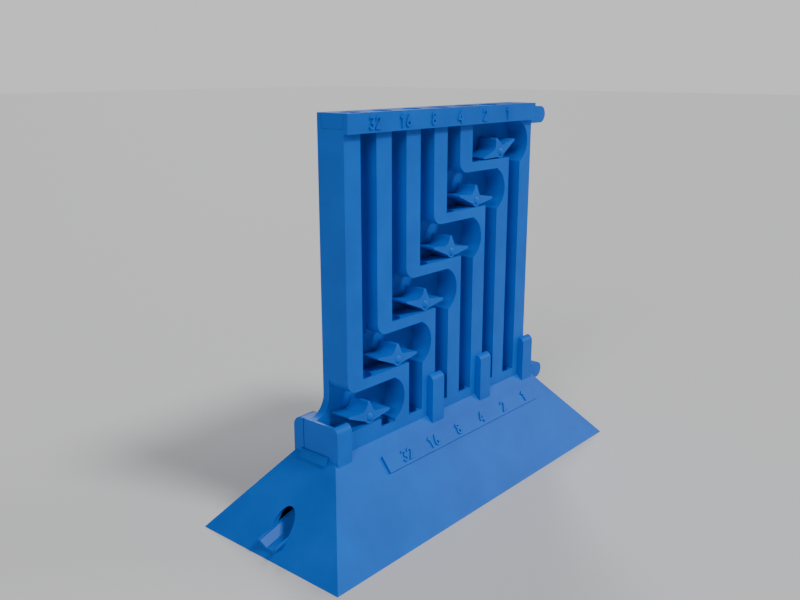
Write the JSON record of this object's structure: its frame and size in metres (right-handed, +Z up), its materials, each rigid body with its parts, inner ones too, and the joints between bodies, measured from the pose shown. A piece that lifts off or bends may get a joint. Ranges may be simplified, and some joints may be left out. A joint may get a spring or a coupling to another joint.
{
  "type": "binary adding machine",
  "caption": "Desktop ball-run adding machine: an upright board of channels with rocking flippers, sliding ball gates at top and foot, and a hollow sloped base.",
  "frame": {"origin": "middle of the base's footprint, on the table", "axes": "+X to the right, towards the bit worth 1 and the slider knobs, along the longest side; +Y to the back, along the shortest side; +Z up"},
  "size_m": [0.198, 0.0784, 0.1705],
  "materials": {
    "frame_plastic": "satin printed plastic",
    "rocker_plastic": "satin printed plastic",
    "slider_plastic": "satin printed plastic",
    "figure_plastic": "satin printed plastic"
  },
  "bodies": {
    "frame": {"base_shell": "frame_plastic", "return_floor": "frame_plastic", "exit_chute": "frame_plastic", "label_strip": "frame_plastic", "base_figures": "figure_plastic", "back_plate": "frame_plastic", "floor_rail": "frame_plastic", "overflow_block": "frame_plastic", "divider_1": "frame_plastic", "divider_2": "frame_plastic", "divider_4": "frame_plastic", "divider_8": "frame_plastic", "divider_16": "frame_plastic", "side_wall": "frame_plastic", "channel_coves": "frame_plastic", "header": "frame_plastic", "header_figures": "figure_plastic", "pivot_pin_1": "frame_plastic", "pivot_pin_2": "frame_plastic", "pivot_pin_4": "frame_plastic", "pivot_pin_8": "frame_plastic", "pivot_pin_16": "frame_plastic", "pivot_pin_32": "frame_plastic"},
    "release_slider": {"release_slider": "slider_plastic"},
    "clear_slider": {"clear_slider": "slider_plastic"},
    "rocker_1": {"rocker_1": "rocker_plastic"},
    "rocker_2": {"rocker_2": "rocker_plastic"},
    "rocker_4": {"rocker_4": "rocker_plastic"},
    "rocker_8": {"rocker_8": "rocker_plastic"},
    "rocker_16": {"rocker_16": "rocker_plastic"},
    "rocker_32": {"rocker_32": "rocker_plastic"}
  },
  "joints": [
    {"name": "release_slide", "type": "slide", "parent": "frame", "child": "release_slider", "axis": [1, 0, 0], "range_m": [0, 0.0045]},
    {"name": "clear_slide", "type": "slide", "parent": "frame", "child": "clear_slider", "axis": [1, 0, 0], "range_m": [0, 0.0045]},
    {"name": "rocker_1_swing", "type": "hinge", "parent": "frame", "child": "rocker_1", "pos_m": [0.0415, -0.005, 0.1493], "axis": [0, -1, 0], "range_deg": [-24, 0]},
    {"name": "rocker_2_swing", "type": "hinge", "parent": "frame", "child": "rocker_2", "pos_m": [0.0235, -0.005, 0.1288], "axis": [0, -1, 0], "range_deg": [0, 24]},
    {"name": "rocker_4_swing", "type": "hinge", "parent": "frame", "child": "rocker_4", "pos_m": [0.0055, -0.005, 0.1083], "axis": [0, -1, 0], "range_deg": [0, 24]},
    {"name": "rocker_8_swing", "type": "hinge", "parent": "frame", "child": "rocker_8", "pos_m": [-0.0125, -0.005, 0.0878], "axis": [0, -1, 0], "range_deg": [0, 24]},
    {"name": "rocker_16_swing", "type": "hinge", "parent": "frame", "child": "rocker_16", "pos_m": [-0.0305, -0.005, 0.0673], "axis": [0, -1, 0], "range_deg": [0, 24]},
    {"name": "rocker_32_swing", "type": "hinge", "parent": "frame", "child": "rocker_32", "pos_m": [-0.0485, -0.005, 0.0468], "axis": [0, -1, 0], "range_deg": [0, 24]}
  ]
}
